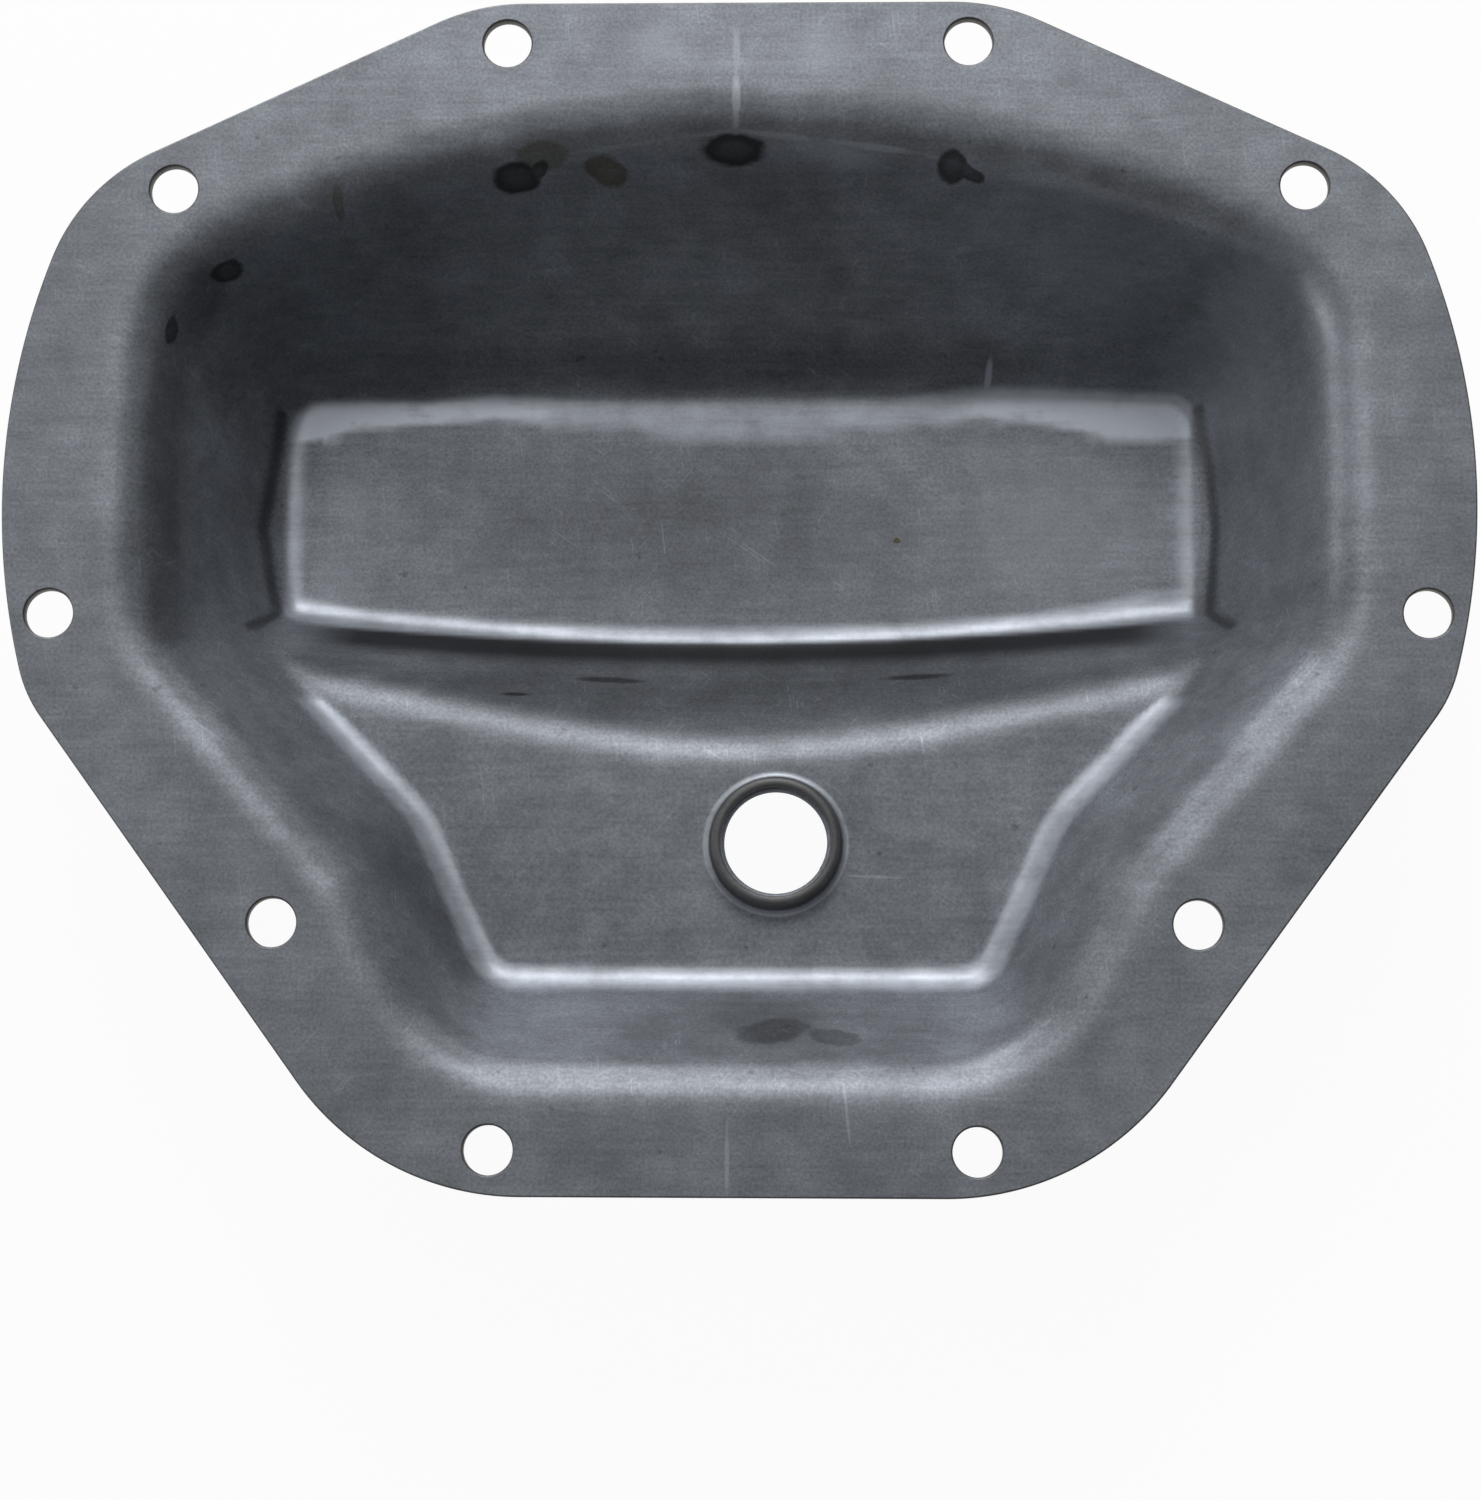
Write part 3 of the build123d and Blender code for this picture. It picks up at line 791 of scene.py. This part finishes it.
def add_floor():
    """White paper that the camera sees almost evenly lit, with faint soft shadows."""
    lowest, half = cad_box[0][2] - floor_gap, floor_half_width
    mesh = bpy.data.meshes.new("floor")
    corners = [(-half, -half, lowest), (half, -half, lowest), (half, half, lowest), (-half, half, lowest)]
    mesh.from_pydata(corners, [], [(0, 1, 2, 3)])
    floor = bpy.data.objects.new("floor", mesh)
    bpy.context.scene.collection.objects.link(floor)
    material = bpy.data.materials.new("white_paper_floor")
    material.use_nodes = True
    tree = material.node_tree
    tree.nodes.clear()
    paper = add(tree, "BsdfDiffuse", {"Color": (paper_white, paper_white, paper_white, 1)})
    white = add(tree, "Emission", {"Strength": 1.0})
    path = add(tree, "LightPath").outputs
    seen = maths(tree, "MAXIMUM", path["Is Camera Ray"], path["Is Glossy Ray"])
    mix = add(tree, "MixShader", {0: maths(tree, "MULTIPLY", seen, floor_glow), 1: paper.outputs[0],
                                  2: white.outputs[0]})
    add(tree, "OutputMaterial", {"Surface": mix.outputs[0]})
    mesh.materials.append(material)


def add_node(tree, kind, inputs=None, **settings):
    """A node with its settings and its inputs, each a value or another node's socket."""
    node = tree.nodes.new(kind)
    for name, value in settings.items():
        setattr(node, name, value)
    for socket, value in (inputs or {}).items():
        if isinstance(value, bpy.types.NodeSocket):
            tree.links.new(value, node.inputs[socket])
        else:
            node.inputs[socket].default_value = value
    return node


def add(tree, kind, inputs=None, **settings):
    return add_node(tree, "ShaderNode" + kind, inputs, **settings)


def maths(tree, operation, *values, clamp=False):
    return add(tree, "Math", dict(enumerate(values)), operation=operation, use_clamp=clamp).outputs[0]


def vector(tree, operation, *values, output=0):
    return add(tree, "VectorMath", dict(enumerate(values)), operation=operation).outputs[output]


def noise(tree, place, scale, detail=3.0, roughness=0.55, stretch=None):
    if stretch:
        place = vector(tree, "MULTIPLY", place, stretch)
    return add(tree, "TexNoise", {"Vector": place, "Scale": scale, "Detail": detail,
                                  "Roughness": roughness}).outputs[0]


def ramp(tree, value, start, end, low=0.0, high=1.0):
    return add(tree, "MapRange", {"Value": value, "From Min": start, "From Max": end, "To Min": low,
                                  "To Max": high}, interpolation_type="SMOOTHSTEP").outputs[0]


def new_group(name, inputs, outputs):
    tree = bpy.data.node_groups.new(name, "ShaderNodeTree")
    for label, kind in inputs:
        tree.interface.new_socket(name=label, in_out="INPUT", socket_type="NodeSocket" + kind)
    for label in outputs:
        tree.interface.new_socket(name=label, in_out="OUTPUT", socket_type="NodeSocketFloat")
    return tree, tree.nodes.new("NodeGroupInput").outputs, tree.nodes.new("NodeGroupOutput").inputs


def line_group():
    """Mask of a straight line with ragged edges, seen from above."""
    tree, given, out = new_group("line_mask",
                                 [("Position", "Vector"), ("Middle", "Vector"), ("Size", "Vector"),
                                  ("Turn", "Vector"), ("Ragged", "Float"), ("Strength", "Float")],
                                 ["Mask"])
    flat = add(tree, "Mapping", {"Vector": given["Position"], "Location": given["Middle"],
                                 "Rotation": given["Turn"], "Scale": given["Size"]}, vector_type="TEXTURE")
    away = vector(tree, "LENGTH", flat.outputs[0], output=1)
    edge = maths(tree, "ADD", away, given["Ragged"])
    mask = add(tree, "MapRange", {"Value": edge, "From Min": 1.2, "From Max": 0.5, "To Min": 0.0,
                                  "To Max": given["Strength"]}, interpolation_type="SMOOTHSTEP")
    tree.links.new(mask.outputs[0], out["Mask"])
    return tree


def mottle_group():
    """What rolling and pressing leave on bare steel. The scales of the noises are per
    metre, and Ragged is centred on 0."""
    tree, given, out = new_group("rolled_steel_mottle", [("Position", "Vector")],
                                 ["Clouds", "Blotches", "Grain", "Brush", "Specks", "Scratches", "Ragged"])
    place = given["Position"]
    blotches = noise(tree, place, 95, 5.0, 0.66)
    tree.links.new(noise(tree, place, 24, 3.0), out["Clouds"])
    tree.links.new(blotches, out["Blotches"])
    tree.links.new(noise(tree, place, 1400, 1.0), out["Grain"])
    tree.links.new(noise(tree, place, 1.0, 3.0, 0.65, (50, 640, 260)), out["Brush"])
    fine = noise(tree, place, 210, 3.0, 0.55)
    tree.links.new(ramp(tree, fine, 0.69, 0.76), out["Specks"])
    tree.links.new(maths(tree, "MULTIPLY", maths(tree, "SUBTRACT", fine, 0.5), 1.05), out["Ragged"])
    hairs = []
    for turn, size in hair_ways:
        turned = add(tree, "VectorRotate", {"Vector": place, "Angle": turn}, rotation_type="Z_AXIS")
        hair = noise(tree, turned.outputs[0], size, 0.0, 0.5, (55, 2600, 300))
        hairs.append(ramp(tree, hair, 0.74, 0.80))
    hair = maths(tree, "MAXIMUM", maths(tree, "MAXIMUM", hairs[0], hairs[1]), hairs[2])
    tree.links.new(maths(tree, "MULTIPLY", hair, ramp(tree, blotches, 0.45, 0.60)), out["Scratches"])
    return tree


def steel_material():
    """Bare pressed steel: mottled, rubbed bright and with painted highlights on its bends, with oil and
    stains, painted shade in its creases and painted sheen.
    """
    material = bpy.data.materials.new("bare_pressed_steel")
    material.use_nodes = True
    tree = material.node_tree
    shader = tree.nodes["Principled BSDF"]
    place = add(tree, "TexCoord").outputs["Object"]
    line = line_group()
    mottle = add(tree, "Group", {"Position": place}, node_tree=mottle_group()).outputs
    ragged = maths(tree, "MULTIPLY", mottle["Ragged"], raggedness)

    def attribute(name):
        return add(tree, "Attribute", attribute_name=name).outputs["Fac"]

    def strongest(masks):
        total = masks[0]
        for mask in masks[1:]:
            total = maths(tree, "MAXIMUM", total, mask)
        return total

    def strokes(marks):
        """Strongest of these lines: ends, half width, strength."""
        masks = []
        for start, end, half_width, strength in marks:
            middle = (np.array(start) + end) / 2
            length = np.linalg.norm(np.subtract(end, start)) / 2 + half_width
            turn = atan2(end[1] - start[1], end[0] - start[0])
            mask = add(tree, "Group", {"Position": place, "Middle": (*middle.tolist(), 0),
                                       "Size": (length, half_width, 1000), "Turn": (0, 0, turn),
                                       "Ragged": ragged, "Strength": strength}, node_tree=line)
            masks.append(mask.outputs["Mask"])
        return maths(tree, "MULTIPLY", strongest(masks), attribute("inside"))

    def blots(name):
        edge = maths(tree, "ADD", attribute(name + "_reach"), ragged)
        rim = maths(tree, "MULTIPLY", ramp(tree, edge, *blot_edge),
                    ramp(tree, edge, *blot_middle, blot_middle_strength, 1.0))
        return maths(tree, "MULTIPLY", rim, attribute(name + "_strength"))

    def varied(value, mask, middle, swing):
        """value times middle, give or take swing as the mask goes from 0 to 1."""
        return maths(tree, "MULTIPLY", value, maths(tree, "MULTIPLY_ADD", mask, 2 * swing, middle - swing))

    def blend(share, under, over):
        return add(tree, "Mix", {0: share, 6: under, 7: over}, data_type="RGBA").outputs[2]

    # Oil blots, dark streaks, and painted shade in the groove and the creases
    dark = strongest([blots("oil"), strokes(streaks), attribute("darkened")])
    # The rubbed bands and their painted highlights come out patchy and streaked
    band_patchiness = maths(tree, "MULTIPLY_ADD", mottle["Blotches"], 1.5, 0.10)
    band_patchiness = maths(tree, "MULTIPLY_ADD", mottle["Brush"], 0.5, maths(tree, "SUBTRACT", band_patchiness, 0.25))
    bright = maths(tree, "MULTIPLY", attribute("burnish_and_highlight"), band_patchiness, clamp=True)
    hairs = maths(tree, "MULTIPLY", mottle["Scratches"], hair_strength)
    light = strongest([bright, strokes(scratches), hairs, attribute("sheen_and_wiped")])

    tone = 1.0
    for name, swing in tone_swings.items():
        tone = varied(tone, mottle[name], 1.0, swing)
    # Specks darken to 0.64 of the tone, the painted shade and smudge patches to half
    tone = varied(tone, mottle["Specks"], 0.82, -0.18)
    tone = varied(tone, attribute("shade_and_smudge"), 0.75, -0.25)
    base = add(tree, "VectorMath", {0: steel_colour, "Scale": tone}, operation="SCALE").outputs[0]
    colour = blend(light, base, rubbed_and_sheen_colour)
    colour = blend(blots("stain"), colour, stain_colour)
    colour = blend(attribute("cut_edge"), colour, cut_edge_colour)
    colour = blend(dark, colour, oil_and_shade_colour)
    tree.links.new(colour, shader.inputs["Base Color"])
    shader.inputs["Metallic"].default_value = steel_metallic
    rough = maths(tree, "MULTIPLY_ADD", mottle["Clouds"], roughness_swing, smoothest)
    rough = maths(tree, "MULTIPLY_ADD", light, -rubbed_polish, rough)
    rough = maths(tree, "MULTIPLY_ADD", attribute("rounded"), -rounded_polish, rough)
    tree.links.new(rough, shader.inputs["Roughness"])
    bump = add(tree, "Bump", {"Height": mottle["Grain"], "Strength": grain_strength,
                              "Distance": grain_depth})
    tree.links.new(bump.outputs[0], shader.inputs["Normal"])
    return material


add_camera()
add_world(world_grey)
for softbox in softboxes:
    add_softbox(*softbox)
add_floor()
steel = steel_material()
pan = build_pan(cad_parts["cover_pan"])
pan.data.materials.append(steel)
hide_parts("cover_pan")
thread = build_thread(steel)
for piece in (pan, thread):
    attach(piece, "root")

bpy.context.scene.view_settings.view_transform = "Standard"
